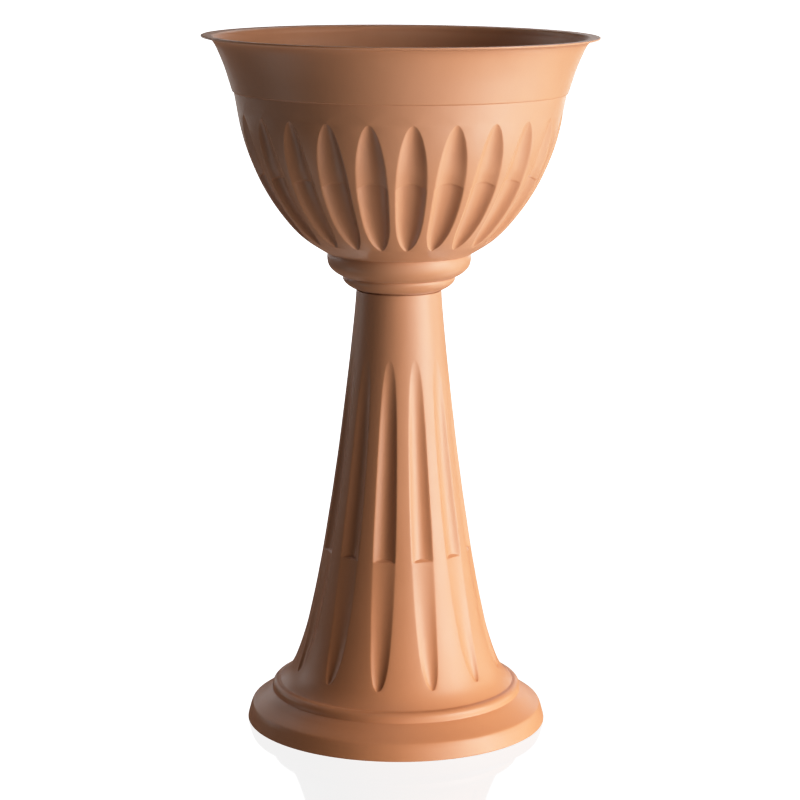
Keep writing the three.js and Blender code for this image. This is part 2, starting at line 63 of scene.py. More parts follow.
# Profiles, [z, r]
BAND = [(704.0, 188.6), (700.0, 186.0), (692.0, 182.3), (684.0, 178.9), (676.0, 175.9), (668.0, 173.4), (660.0, 170.9), (654.2, 169.1)]
BOWL = [(653.4, 167.5), (640.0, 165.0), (620.0, 161.6), (600.0, 156.3), (580.0, 148.8), (560.0, 139.3), (540.0, 127.0), (520.0, 111.4), (510.0, 101.7), (502.0, 91.6), (496.0, 82.3), (491.4, 74.6)]
COLUMN = [(454.0, 43.5), (440.0, 44.4), (420.0, 46.2), (400.0, 48.2), (380.0, 50.3), (360.0, 52.6), (340.0, 54.9), (320.0, 57.3), (300.0, 59.7), (280.0, 62.3), (260.0, 65.1), (240.0, 67.9), (220.0, 71.0), (200.0, 74.1), (180.0, 77.3), (160.0, 80.9), (140.0, 84.7), (120.0, 88.9), (100.0, 93.4), (85.0, 97.8), (70.0, 102.9), (60.0, 107.0), (52.0, 111.5), (46.0, 116.4), (42.0, 120.6)]

# Flutes: full width in degrees and depth in millimetres, by height. A ledge crosses each flute, where the depth jumps.
BOWL_FLUTE = {
    "count": 24, "phase": 4.5, "top": 634.0, "foot": 504.6, "ledge": 571.0, "arch": 3.2, "power": {"above": 2.0, "below": 2.7},
    "width": [(504.6, 0.5), (505.2, 1.9), (506.0, 3.2), (507.5, 4.9), (510.0, 6.9), (513.0, 8.4), (517.0, 9.8), (522.0, 10.9), (528.0, 11.6), (536.0, 12.0), (550.0, 12.1), (571.0, 11.8), (590.0, 10.8), (605.0, 9.2), (614.0, 7.8), (622.0, 6.1), (628.0, 4.3), (631.0, 3.0), (633.0, 1.7), (634.0, 0.5)],
    "above": [(571.0, 5.0), (580.0, 5.4), (590.0, 5.8), (600.0, 5.9), (610.0, 5.3), (618.0, 4.3), (624.0, 3.1), (629.0, 1.8), (632.0, 0.8), (634.0, 0.0)],
    "below": [(504.6, 0.0), (505.2, 0.6), (507.0, 2.1), (510.0, 3.6), (515.0, 4.9), (522.0, 5.9), (532.0, 6.6), (545.0, 7.1), (560.0, 7.4), (571.0, 7.5)],
    "back_above": [(571.0, 4.6), (580.0, 4.8), (590.0, 5.0), (600.0, 5.0), (610.0, 4.4), (620.0, 2.7), (628.0, 1.1), (632.0, 0.35), (634.0, 0.0)],
    "back_below": [(504.6, 0.0), (505.2, 0.6), (507.0, 2.0), (510.0, 3.4), (515.0, 4.7), (522.0, 5.5), (532.0, 6.0), (545.0, 6.3), (560.0, 6.4), (571.0, 6.3)],
}
COLUMN_FLUTE = {
    "count": 12, "phase": -9.9, "top": 387.0, "foot": 57.6, "ledge": 183.4, "arch": 3.4, "power": {"above": 2.0, "below": 2.0},
    "width": [(57.6, 0.5), (58.4, 2.0), (59.6, 3.4), (61.5, 4.8), (64.5, 6.2), (69.0, 7.7), (76.0, 9.3), (90.0, 11.3), (110.0, 13.1), (135.0, 14.9), (160.0, 16.2), (183.4, 17.2), (220.0, 18.1), (260.0, 18.3), (300.0, 18.0), (325.0, 17.3), (345.0, 16.0), (360.0, 14.4), (371.0, 12.2), (378.0, 9.8), (383.0, 6.9), (386.0, 3.6), (387.0, 0.8)],
    "above": [(183.4, 5.4), (220.0, 5.2), (260.0, 4.9), (300.0, 4.2), (325.0, 3.5), (345.0, 2.6), (360.0, 1.8), (371.0, 1.1), (380.0, 0.45), (387.0, 0.0)],
    "below": [(57.6, 0.0), (58.4, 0.7), (60.0, 1.5), (63.0, 2.3), (68.0, 2.8), (76.0, 3.1), (90.0, 3.1), (110.0, 2.9), (135.0, 2.6), (160.0, 2.3), (183.4, 2.1)],
}


class Curve:
    """Smooth monotone curve through (x, y) pairs."""

    def __init__(self, points):
        p = np.array(sorted(points), float)
        x, y = p[:, 0], p[:, 1]
        d = np.diff(y) / np.diff(x)
        m = np.concatenate([[d[0]], np.where(d[:-1] * d[1:] <= 0, 0, (d[:-1] + d[1:]) / 2), [d[-1]]])
        for i in range(len(d)):
            if d[i] == 0:
                m[i] = m[i + 1] = 0
                continue
            a, b = m[i] / d[i], m[i + 1] / d[i]
            s = a * a + b * b
            if s > 9:
                t = 3 / math.sqrt(s)
                m[i], m[i + 1] = t * a * d[i], t * b * d[i]
        self.x, self.y, self.m = x, y, m

    def __call__(self, q):
        q = np.clip(np.asarray(q, float), self.x[0], self.x[-1])
        i = np.clip(np.searchsorted(self.x, q, side="right") - 1, 0, len(self.x) - 2)
        h = self.x[i + 1] - self.x[i]
        t = (q - self.x[i]) / h
        y0, y1, m0, m1 = self.y[i], self.y[i + 1], self.m[i] * h, self.m[i + 1] * h
        return (2 * t**3 - 3 * t**2 + 1) * y0 + (t**3 - 2 * t**2 + t) * m0 + (3 * t**2 - 2 * t**3) * y1 + (t**3 - t**2) * m1

    def slope(self, q):
        e = 0.05
        return (self(np.asarray(q) + e) - self(np.asarray(q) - e)) / np.maximum(
            np.clip(np.asarray(q) + e, self.x[0], self.x[-1]) - np.clip(np.asarray(q) - e, self.x[0], self.x[-1]), 1e-6
        )


def path(points, step=0.8):
    """Rounded path through (r, z) points, by a centripetal Catmull-Rom curve, in pieces no longer than step."""
    p = np.array(points, float)
    q = np.vstack([2 * p[0] - p[1], p, 2 * p[-1] - p[-2]])
    out = [p[0]]
    for i in range(1, len(q) - 2):
        p0, p1, p2, p3 = q[i - 1], q[i], q[i + 1], q[i + 2]
        t = [0.0]
        for a, b in ((p0, p1), (p1, p2), (p2, p3)):
            t.append(t[-1] + max(np.linalg.norm(b - a), 1e-6) ** 0.5)
        n = max(1, int(math.ceil(np.linalg.norm(p2 - p1) / step)))
        for s in np.linspace(t[1], t[2], n + 1)[1:]:
            a1 = (t[1] - s) / (t[1] - t[0]) * p0 + (s - t[0]) / (t[1] - t[0]) * p1
            a2 = (t[2] - s) / (t[2] - t[1]) * p1 + (s - t[1]) / (t[2] - t[1]) * p2
            a3 = (t[3] - s) / (t[3] - t[2]) * p2 + (s - t[2]) / (t[3] - t[2]) * p3
            b1 = (t[2] - s) / (t[2] - t[0]) * a1 + (s - t[0]) / (t[2] - t[0]) * a2
            b2 = (t[3] - s) / (t[3] - t[1]) * a2 + (s - t[1]) / (t[3] - t[1]) * a3
            out.append((t[2] - s) / (t[2] - t[1]) * b1 + (s - t[1]) / (t[2] - t[1]) * b2)
    return [tuple(v) for v in out]


def line(a, b, n):
    return [tuple(v) for v in np.linspace(a, b, n + 1)]


# ---------------------------------------------------------------- rings round the axis
class Wall:
    """Rings for one turned piece. Their columns follow the edges of its flutes."""

    INSIDE = [-1.1, -1.035, -0.97, -0.86, -0.68, -0.46, -0.22, 0.0, 0.22, 0.46, 0.68, 0.86, 0.97, 1.035, 1.1]

    def __init__(self, flute, rib):
        self.flute = flute
        self.inside = np.array(self.INSIDE)
        self.rib = rib
        self.m = len(self.INSIDE) + rib
        self.n = flute["count"] * self.m
        self.pitch = 360.0 / flute["count"]
        self.before = rib // 2
        self.width = Curve(flute["width"])
        self.above = Curve(flute["above"])
        self.below = Curve(flute["below"])
        # the back of the wall, where the flutes may be shallower
        self.back = {side: Curve(flute.get("back_" + side, flute[side])) for side in ("above", "below")}
        self.uniform = (np.arange(self.m) - (self.m - 1) / 2) / self.m * self.pitch
        self.rings = []

    def local(self, width, blend=1.0):
        """Azimuths of one flute's columns, in degrees from its centre."""
        f = self.inside * width / 2
        gap = self.pitch - (f[-1] - f[0])
        t = gap / (self.rib + 1)
        left = [f[0] - t * (self.before - i) for i in range(self.before)]
        right = [f[-1] + t * (i + 1) for i in range(self.rib - self.before)]
        az = np.concatenate([left, f, right])
        # with an odd rib the two sides differ, so the last gap is the same as the others
        return blend * az + (1 - blend) * self.uniform

    def put(self, az, r, z):
        """One ring, from a flute's azimuths, radii and heights."""
        k = np.arange(self.flute["count"])[:, None] * self.pitch + self.flute["phase"]
        a = np.radians((k + az[None, :]).ravel())
        rr = np.tile(np.broadcast_to(r, (self.m,)), self.flute["count"])
        zz = np.tile(np.broadcast_to(z, (self.m,)), self.flute["count"])
        self.rings.append(np.stack([rr * np.sin(a), -rr * np.cos(a), zz], 1))

    def turned(self, points, fade=None):
        """Plain rings through (r, z) points. fade is a height near a flute's tip, from which the columns spread out evenly."""
        for r, z in points:
            b = 0.0 if fade is None else max(0.0, 1 - abs(z - fade) / 16.0)
            b = b * b * (3 - 2 * b)
            self.put(self.local(0.5, b), r, z)

    def fluted(self, profile, heights, inset=0.0, soft=0.16):
        """Rings in the fluted zone. heights holds (z, side), where side is above or below the ledge."""
        fl = self.flute
        for z, side in heights:
            r = float(profile(z))
            s = float(profile.slope(z))
            norm = math.hypot(1, s)
            nr, nz = 1 / norm, -s / norm
            width = float(self.width(z))
            depth = float((self.back[side] if inset else self.above if side == "above" else self.below)(z))
            grow = 0.0 if inset == 0 else math.degrees(2 * inset * 0.34 / r)
            full = width + grow * min(1, depth / 2)
            az = self.local(full)
            f = az / (full / 2)
            y = depth * (1 - np.abs(f) ** (2.0 if inset else fl["power"][side]))
            k = soft * min(1.0, depth / 1.5)
            d = 0.5 * (y + np.sqrt(y * y + 4 * k * k)) if k > 0 else np.zeros(self.m)
            d = np.where(np.abs(f) > 1.6, 0, d * np.clip((1.6 - np.abs(f)) / 0.3, 0, 1))
            lift = fl["arch"] * np.clip(1 - f * f, 0, None)
            if side == "above":
                lift = lift * math.exp(-(((z - fl["ledge"]) / 9.0) ** 2))
            else:
                lift = lift * 0.22 * math.exp(-(((z - fl["ledge"]) / 6.0) ** 2))
            self.put(az, r - (inset + d) * nr, z - (inset + d) * nz + lift)

    def mesh(self, extra=None):
        """Vertices and quads of the open strip through the rings, first to last."""
        v = np.concatenate(self.rings)
        n, rows = self.n, len(self.rings)
        i = np.arange(n)
        j = (i + 1) % n
        q = []
        for a in range(rows - 1):
            q.append(np.stack([a * n + i, (a + 1) * n + i, (a + 1) * n + j, a * n + j], 1))
        return v, np.concatenate(q)


class Build:
    """Gathers vertices and faces of one piece, then welds them."""

    def __init__(self):
        self.v, self.f, self.count = [], [], 0

    def add(self, v, faces):
        v = np.asarray(v, float)
        self.v.append(v)
        self.f += [tuple(int(i) + self.count for i in f) for f in faces]
        self.count += len(v)

    def plate(self, z, outer, holes, up):
        """Flat face at height z inside the outer loop, with holes. Loops are lists of (x, y)."""
        pts, edges = [], []
        for loop in [outer] + holes:
            s = len(pts)
            pts += [Vector((float(x), float(y))) for x, y in loop]
            edges += [(s + i, s + (i + 1) % len(loop)) for i in range(len(loop))]
        vs, _, fs, same, _, _ = delaunay_2d_cdt(pts, edges, [], 0, 1e-7)
        given = [q for loop in [outer] + holes for q in loop]
        p = np.array([given[k[0]] if k else tuple(v) for v, k in zip(vs, same)], float)
        keep = []
        for f in fs:
            c = p[list(f)].mean(0)
            if not inside(c, outer) or any(inside(c, h) for h in holes):
                continue
            a, b, d = (p[i] for i in f[:3])
            area = (b[0] - a[0]) * (d[1] - a[1]) - (b[1] - a[1]) * (d[0] - a[0])
            keep.append(tuple(f) if (area > 0) == up else tuple(reversed(f)))
        self.add(np.column_stack([p, np.full(len(p), z)]), keep)

    def tube(self, loop, z0, z1, outward):
        """Upright wall on a loop, facing out of the loop or into it."""
        n = len(loop)
        p = np.array(loop, float)
        v = np.vstack([np.column_stack([p, np.full(n, z0)]), np.column_stack([p, np.full(n, z1)])])
        f = []
        for i in range(n):
            j = (i + 1) % n
            q = (i, j, n + j, n + i)
            f.append(q if outward else tuple(reversed(q)))
        self.add(v, f)

    def turned(self, points, n=48, centre=(0.0, 0.0), closed=True):
        """Turned solid from (r, z) points. An r of 0 is on the axis."""
        v, rows = [], []
        for r, z in points:
            rows.append((len(v), r))
            if r < 1e-9:
                v.append((centre[0], centre[1], z))
            else:
                for i in range(n):
                    a = TAU * i / n
                    v.append((centre[0] + r * math.sin(a), centre[1] - r * math.cos(a), z))
        f = []
        pairs = list(zip(rows, rows[1:])) + ([(rows[-1], rows[0])] if closed else [])
        for (s0, r0), (s1, r1) in pairs:
            for i in range(n):
                j = (i + 1) % n
                if r0 < 1e-9 and r1 < 1e-9:
                    continue
                if r0 < 1e-9:
                    f.append((s0, s1 + i, s1 + j))
                elif r1 < 1e-9:
                    f.append((s0 + i, s1, s0 + j))
                else:
                    f.append((s0 + i, s1 + i, s1 + j, s0 + j))
        self.add(v, f)

    def object(self, name, material, body, node, smooth=35.0):
        v = np.concatenate(self.v) * MM
        key = np.round(v * 1e7).astype(np.int64)
        _, first, inverse = np.unique(key, axis=0, return_index=True, return_inverse=True)
        inverse = inverse.ravel()
        faces = []
        for f in self.f:
            g = [int(inverse[i]) for i in f]
            g = [a for i, a in enumerate(g) if a != g[i - 1]]
            if len(set(g)) > 2:
                faces.append(g)
        me = bpy.data.meshes.new(name)
        me.from_pydata([tuple(p) for p in v[first]], [], faces)
        me.validate()
        me.update()
        me.shade_smooth()
        me.set_sharp_from_angle(angle=math.radians(smooth))
        me.materials.append(material)
        o = bpy.data.objects.new(name, me)
        bpy.context.scene.collection.objects.link(o)
        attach(o, body)
        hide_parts(node)
        return o


def inside(c, loop):
    x, y = float(c[0]), float(c[1])
    odd = False
    for i in range(len(loop)):
        x0, y0 = loop[i - 1]
        x1, y1 = loop[i]
        if (y0 > y) != (y1 > y) and x < (x1 - x0) * (y - y0) / (y1 - y0) + x0:
            odd = not odd
    return odd


def circle(r, n, x=0.0, y=0.0, turn=0.0):
    return [(x + r * math.cos(TAU * i / n + turn), y + r * math.sin(TAU * i / n + turn)) for i in range(n)]


def polar(r, degrees):
    return r * math.sin(math.radians(degrees)), -r * math.cos(math.radians(degrees))


def counter(loop):
    """The loop, run counter-clockwise."""
    a = sum(loop[i - 1][0] * loop[i][1] - loop[i][0] * loop[i - 1][1] for i in range(len(loop)))
    return loop if a > 0 else loop[::-1]


def spread(a, b, first, most):
    """Heights from a to b, close together at a and wider later."""
    out, step, z, sign = [a], first, a, (1 if b > a else -1)
    while abs(b - z) > step * 1.3:
        z += sign * step
        out.append(z)
        step = min(step * 1.35, most)
    out.append(b)
    return out


# ---------------------------------------------------------------- materials
def wire(nt, a, b):
    nt.links.new(a, b)


def noise(nt, where, scale, detail=4.0, rough=0.5, stretch=None):
    """Noise over the piece, in its own coordinates. stretch scales the three axes apart."""
    src = where
    if stretch:
        m = nt.nodes.new("ShaderNodeMapping")
        m.inputs["Scale"].default_value = stretch
        wire(nt, where, m.inputs["Vector"])
        src = m.outputs["Vector"]
    n = nt.nodes.new("ShaderNodeTexNoise")
    n.inputs["Scale"].default_value = scale
    n.inputs["Detail"].default_value = detail
    n.inputs["Roughness"].default_value = rough
    wire(nt, src, n.inputs["Vector"])
    return n.outputs["Fac"]


def ranged(nt, value, a0, a1, b0, b1):
    m = nt.nodes.new("ShaderNodeMapRange")
    for k, v in (("From Min", a0), ("From Max", a1), ("To Min", b0), ("To Max", b1)):
        m.inputs[k].default_value = v
    wire(nt, value, m.inputs["Value"])
    return m.outputs["Result"]


def math_node(nt, op, a, b):
    m = nt.nodes.new("ShaderNodeMath")
    m.operation = op
    for i, v in enumerate((a, b)):
        if isinstance(v, (int, float)):
            m.inputs[i].default_value = v
        else:
            wire(nt, v, m.inputs[i])
    return m.outputs[0]


def mix(nt, fac, a, b, kind="MIX"):
    m = nt.nodes.new("ShaderNodeMix")
    m.data_type = "RGBA"
    m.blend_type = kind
    for i, v in ((0, fac), (6, a), (7, b)):
        if isinstance(v, (int, float, tuple)):
            m.inputs[i].default_value = v if not isinstance(v, tuple) else tuple(v) + ((1.0,) if len(v) == 3 else ())
        else:
            wire(nt, v, m.inputs[i])
    return m.outputs[2]


def bumps(nt, layers, shader):
    """A chain of bump nodes from (height, strength, distance)."""
    last = None
    for h, strength, distance in layers:
        b = nt.nodes.new("ShaderNodeBump")
        b.inputs["Strength"].default_value = strength
        b.inputs["Distance"].default_value = distance
        wire(nt, h, b.inputs["Height"])
        if last is not None:
            wire(nt, last, b.inputs["Normal"])
        last = b.outputs["Normal"]
    wire(nt, last, shader.inputs["Normal"])


def start(name):
    m = bpy.data.materials.new(name)
    m.use_nodes = True
    nt = m.node_tree
    s = nt.nodes["Principled BSDF"]
    tc = nt.nodes.new("ShaderNodeTexCoord")
    return m, nt, s, tc.outputs["Object"]


def moulded_plastic(name, colour, rough=(0.46, 0.6), grain=1.0, wear=0.5, specular=0.5, low=None):
    """Coloured plastic as it comes from a mould: clouded pigment, fine spark-eroded grain, faint draw lines, edges
    rubbed paler, painted shade darkening its hollows and creases, and, where asked, a painted warm bounce light from
    the floor towards the ground.
    """
    m, nt, s, at = start(name)
    cloud = noise(nt, at, 7.0, 3.0, 0.55)
    flow = noise(nt, at, 1.0, 3.0, 0.6, stretch=(95.0, 95.0, 5.0))
    speck = noise(nt, at, 1500.0, 2.0, 0.6)
    c = mix(nt, ranged(nt, cloud, 0.3, 0.7, 0.0, 1.0), tuple(v * 0.955 for v in colour), tuple(min(1.0, v * 1.04) for v in colour))
    c = mix(nt, ranged(nt, flow, 0.42, 0.72, 0.0, 0.35), c, tuple(min(1.0, v * 1.07) for v in colour))
    c = mix(nt, ranged(nt, speck, 0.62, 0.78, 0.0, 0.28), c, tuple(v * 0.72 for v in colour))
    edge = nt.nodes.new("ShaderNodeNewGeometry").outputs["Pointiness"]
    patch = noise(nt, at, 46.0, 4.0, 0.65)
    worn = math_node(nt, "MULTIPLY", ranged(nt, edge, 0.515, 0.6, 0.0, wear), ranged(nt, patch, 0.4, 0.62, 0.25, 1.0))
    pale = tuple(min(1.0, v * 1.22 + 0.035) for v in colour)
    c = mix(nt, worn, c, pale)
    # painted shade: hollows and creases are darkened in the colour, where shade falls in them
    painted_hollow_shade = ranged(nt, edge, 0.47, 0.40, 0.0, 0.3)
    c = mix(nt, painted_hollow_shade, c, tuple(v * 0.78 for v in colour))
    if low:
        # painted warm bounce light from the floor: the colour turns richer towards the ground
        xyz = nt.nodes.new("ShaderNodeSeparateXYZ")
        wire(nt, at, xyz.inputs["Vector"])
        c = mix(nt, ranged(nt, xyz.outputs["Z"], 0.0, 0.47, 1.0, 0.0), c, mix(nt, 1.0, c, low, "MULTIPLY"))
    wire(nt, c, s.inputs["Base Color"])
    r = ranged(nt, math_node(nt, "ADD", cloud, flow), 0.7, 1.3, rough[0], rough[1])
    wire(nt, math_node(nt, "ADD", r, math_node(nt, "MULTIPLY", worn, 0.06)), s.inputs["Roughness"])
    s.inputs["Specular IOR Level"].default_value = specular
    peel = noise(nt, at, 210.0, 2.0, 0.5)
    bumps(nt, [(speck, 0.5 * grain, 0.00006), (peel, 0.5 * grain, 0.00007), (flow, 0.35 * grain, 0.0001)], s)
    return m


def black_rubber(name):
    m, nt, s, at = start(name)
    cloud = noise(nt, at, 120.0, 4.0, 0.6)
    dust = noise(nt, at, 900.0, 3.0, 0.7)
    c = mix(nt, ranged(nt, cloud, 0.35, 0.7, 0.0, 1.0), (0.016, 0.015, 0.014), (0.034, 0.032, 0.03))
    c = mix(nt, ranged(nt, dust, 0.6, 0.8, 0.0, 0.35), c, (0.09, 0.085, 0.08))
    wire(nt, c, s.inputs["Base Color"])
    wire(nt, ranged(nt, cloud, 0.3, 0.7, 0.62, 0.86), s.inputs["Roughness"])
    s.inputs["Specular IOR Level"].default_value = 0.35
    bumps(nt, [(dust, 0.6, 0.00012), (cloud, 0.4, 0.0002)], s)
    return m


def zinc_steel(name):
    m, nt, s, at = start(name)
    spangle = nt.nodes.new("ShaderNodeTexVoronoi")
    spangle.inputs["Scale"].default_value = 420.0
    wire(nt, at, spangle.inputs["Vector"])
    brush = noise(nt, at, 1.0, 2.0, 0.6, stretch=(2600.0, 2600.0, 160.0))
    c = mix(nt, ranged(nt, spangle.outputs["Distance"], 0.0, 0.7, 0.0, 1.0), (0.50, 0.51, 0.52), (0.66, 0.665, 0.66))
    c = mix(nt, ranged(nt, brush, 0.6, 0.85, 0.0, 0.5), c, (0.36, 0.35, 0.33))
    wire(nt, c, s.inputs["Base Color"])
    s.inputs["Metallic"].default_value = 1.0
    wire(nt, ranged(nt, brush, 0.3, 0.75, 0.24, 0.46), s.inputs["Roughness"])
    bumps(nt, [(brush, 0.4, 0.00005)], s)
    return m


TERRACOTTA = (0.472, 0.207, 0.104)
terracotta = moulded_plastic("terracotta_plastic", TERRACOTTA, rough=(0.36, 0.46), specular=0.4, low=(1.14, 0.99, 0.84))
brown = moulded_plastic("brown_plastic", (0.15, 0.062, 0.034), rough=(0.36, 0.5), wear=0.7)
rubber = black_rubber("black_rubber")
steel = zinc_steel("zinc_steel")


# ---------------------------------------------------------------- bowl
def offset(curve, z, t):
    s = float(curve.slope(z))
    n = math.hypot(1, s)
    return float(curve(z)) - t / n, z + t * s / n


bowl_curve, band_curve, column_curve = Curve(BOWL), Curve(BAND), Curve(COLUMN)

bowl = Wall(BOWL_FLUTE, 1)
fl = BOWL_FLUTE
# floor, from the socket's radius outwards, and the inside of the wall up to the rim
bowl.turned(line((43.0, FLOOR_TOP_Z), (74.0, FLOOR_TOP_Z), 3))
bowl.turned(path([(76.0, 497.1), (80.0, 498.3), (83.0, 500.2)], 2.4)[1:])
lo = [offset(bowl_curve, z, WALL) for z in (501.2, 502.6, 503.8)]
bowl.turned(lo, fade=fl["foot"] - 0.8)
inner = [(z, "below") for z in spread(fl["foot"], fl["ledge"] - 1.5, 2.0, 7.5)]
inner += [(z, "above") for z in spread(fl["top"], fl["ledge"] + 1.5, 2.6, 8.0)[::-1]]
bowl.fluted(bowl_curve, inner, inset=WALL, soft=0.7)
for z in (636.0, 640.0, 645.0, 650.0):
    bowl.turned([offset(bowl_curve, z, WALL)], fade=fl["top"])
bowl.turned([offset(band_curve, z, WALL) for z in (657.0, 664.0, 671.0, 678.0, 685.0, 691.0, 696.0, 700.0)])
bowl.turned(path([(184.6, 703.2), (185.7, 706.0), (187.2, 708.3), (189.6, 709.45), (193.0, 709.75), (198.0, RIM_Z), (199.5, RIM_Z - 0.08), (200.05, RIM_Z - 0.4), (RIM_R, RIM_Z - 0.95), (200.1, RIM_Z - 1.5), (199.7, RIM_Z - 1.9), (199.0, RIM_Z - 2.1), (195.4, RIM_Z - 2.35), (192.6, RIM_Z - 3.1), (190.7, RIM_Z - 4.2)], 1.5))
bowl.turned([(float(band_curve(z)), z) for z in (703.8, 701.0, 697.5, 693.0, 687.0, 681.0, 674.5, 668.0, 662.0, 657.8, 655.4)])
bowl.turned([(169.25, 654.6), (169.12, 654.3), (168.9, 654.08), (168.5, 653.9), (168.0, 653.75), (167.72, 653.6), (167.55, 653.3), (167.46, 652.8)])
for z in (649.0, 644.5, 641.0, 638.4, 636.4, 635.0):
    bowl.turned([(float(bowl_curve(z)), z)], fade=fl["top"])
above = [(z, "above") for z in [634.0, 633.6, 633.1, 632.5, 631.7, 630.7, 629.5, 628.1, 626.5, 624.7] + list(np.linspace(622.3, 577.4, 17)) + [575.2, 573.8, 572.8, 572.1, 571.6, 571.2]]
below = [(z, "below") for z in [570.7, 570.3, 569.6, 568.6, 567.2, 565.2] + list(np.linspace(562.2, 522.6, 14)) + [519.8, 517.8, 516.0, 514.3, 512.7, 511.2, 509.8, 508.6, 507.6, 506.8, 506.1, 505.5, 505.0, 504.6]]
bowl.fluted(bowl_curve, above + below)
for z in (503.6, 502.2, 500.4, 498.2, 495.6, 493.4, 491.9):
    bowl.turned([(float(bowl_curve(z)), z)], fade=fl["foot"])
# collar: a concave corner under the bowl, then two beads
bowl.turned([(73.5, 490.95), (72.95, 490.62), (72.72, 490.35)])
bowl.turned(path([(72.75, 490.1), (73.05, 489.4), (73.3, 488.2), (73.4, 486.4), (73.2, 483.6), (72.6, 480.6), (71.6, 478.0), (70.0, 475.6), (67.6, 473.1), (64.6, 470.8), (61.0, 468.7), (58.1, 467.35), (57.35, 466.95)], 1.5))
bowl.turned(path([(57.15, 466.75), (57.2, 466.45), (57.4, 465.9), (57.45, 464.9), (57.0, 463.2), (56.0, 461.5), (54.4, 459.7), (52.2, 457.9), (49.6, 456.2), (47.6, 455.1)], 1.5))
bowl.turned(path([(47.2, 454.85), (46.8, 454.66), (46.3, COLLAR_FOOT_Z), (45.4, COLLAR_FOOT_Z), (45.1, 454.75), (COLLAR_LIP_INNER_R, 455.1)], 0.7))
# inside of the collar, then round the socket under the floor
bowl.turned(path([(45.0, 455.6), (45.5, 457.3), (49.4, 460.4), (52.6, 463.8), (53.8, 467.2), (57.2, 470.2), (63.2, 474.0), (67.2, 478.0), (69.4, 482.0), (69.8, 486.0)], 3.2)[1:])
under = FLOOR_TOP_Z - FLOOR_T
bowl.turned([(69.9, under - 0.9), (69.6, under - 0.25), (68.8, under), (60.0, under), (46.6, under), (46.0, under - 0.2), (SOCKET_OUTER_R, under - 0.8), (SOCKET_OUTER_R, SOCKET_FOOT_Z + 0.6), (SOCKET_OUTER_R - 0.5, SOCKET_FOOT_Z), (SOCKET_INNER_R + 0.7, SOCKET_FOOT_Z), (SOCKET_INNER_R, SOCKET_FOOT_Z + 0.9), (SOCKET_INNER_R, under)])

b = Build()
v, f = bowl.mesh()
b.add(v, f)
first, last = bowl.rings[0], bowl.rings[-1]
holes = [circle(DRAIN_HOLE_R, 40, *polar(DRAIN_PITCH_R, 360 / DRAINS * i)) for i in range(DRAINS)] + [circle(BOLT_HOLE_R, 40)]
b.plate(FLOOR_TOP_Z, [(p[0], p[1]) for p in first], holes, True)
b.plate(under, [(p[0], p[1]) for p in last], holes, False)
for h in holes:
    b.tube(counter(h), under, FLOOR_TOP_Z, False)
# ribs between the socket and the collar
for i in range(SOCKET_RIBS):
    a = math.radians(360 / SOCKET_RIBS * i + 22.5)
    out = (math.sin(a), -math.cos(a))
    side = (math.cos(a), math.sin(a))
    shape = [(SOCKET_OUTER_R - 0.8, 478.5), (67.9, 478.5), (70.2, 482.5), (70.5, under + 0.8), (SOCKET_OUTER_R - 0.8, under + 0.8)]
    vs, n = [], len(shape)
    for t in (-SOCKET_RIB_T / 2, SOCKET_RIB_T / 2):
        for r, z in shape:
            vs.append((out[0] * r + side[0] * t, out[1] * r + side[1] * t, z))
    fs = [tuple(range(n)), tuple(range(2 * n - 1, n - 1, -1))]
    fs += [(j, n + j, n + (j + 1) % n, (j + 1) % n) for j in range(n)]
    b.add(vs, fs)
bowl_piece = b.object("bowl_wall", terracotta, "bowl_body", "bowl")

# ---------------------------------------------------------------- column
column = Wall(COLUMN_FLUTE, 9)
fl = COLUMN_FLUTE
# from the head's recess over its rim and down the outside
column.turned([(HEAD_R - WALL, HEAD_DISC_TOP_Z), (HEAD_R - WALL, HEAD_DISC_TOP_Z + 4.0), (HEAD_R - WALL, HEAD_TOP_Z - 0.6), (HEAD_R - WALL + 0.4, HEAD_TOP_Z - 0.12), (HEAD_R - WALL + 0.9, HEAD_TOP_Z), (HEAD_R - 0.9, HEAD_TOP_Z), (HEAD_R - 0.35, HEAD_TOP_Z - 0.15), (HEAD_R - 0.05, HEAD_TOP_Z - 0.6), (HEAD_R, HEAD_TOP_Z - 1.2)])
column.turned(path([(42.6, 488.0), (42.4, 480.0), (41.9, 474.0), (GROOVE_R, 468.0), (GROOVE_R, 460.0), (GROOVE_R, 453.6)], 4.5))
column.turned(path([(41.5, 453.05), (41.9, 452.72), (42.7, 452.58), (43.25, 452.45), (43.5, 452.1), (43.56, 451.6)], 0.5))
column.turned([(float(column_curve(z)), z) for z in (450.0, 446.0, 441.0, 434.0, 427.0, 420.0, 413.0, 407.0)])
for z in (402.0, 398.0, 394.5, 391.5, 389.5, 388.0):
    column.turned([(float(column_curve(z)), z)], fade=fl["top"])
above = [(z, "above") for z in [387.0, 386.7, 386.2, 385.5, 384.6, 383.4, 381.9, 380.1, 378.0, 375.5, 372.6, 369.3, 365.6, 361.5, 357.0] + list(np.linspace(352.0, 196.0, 31)) + [192.6, 189.8, 187.6, 186.0, 184.9, 184.2, 183.8, 183.5]]
below = [(z, "below") for z in [182.9, 182.5, 181.8, 180.7, 179.0, 176.6, 173.4] + list(np.linspace(169.0, 86.0, 17)) + [82.0, 78.4, 75.2, 72.4, 69.9, 67.7, 65.8, 64.2, 62.8, 61.6, 60.6, 59.8, 59.1, 58.5, 58.0, 57.6]]
column.fluted(column_curve, above + below, soft=0.15)
for z in (56.8, 55.8, 54.6, 53.2, 51.6, 49.8, 48.0, 46.2, 44.6, 43.2, 42.3):
    column.turned([(float(column_curve(z)), z)], fade=fl["foot"])
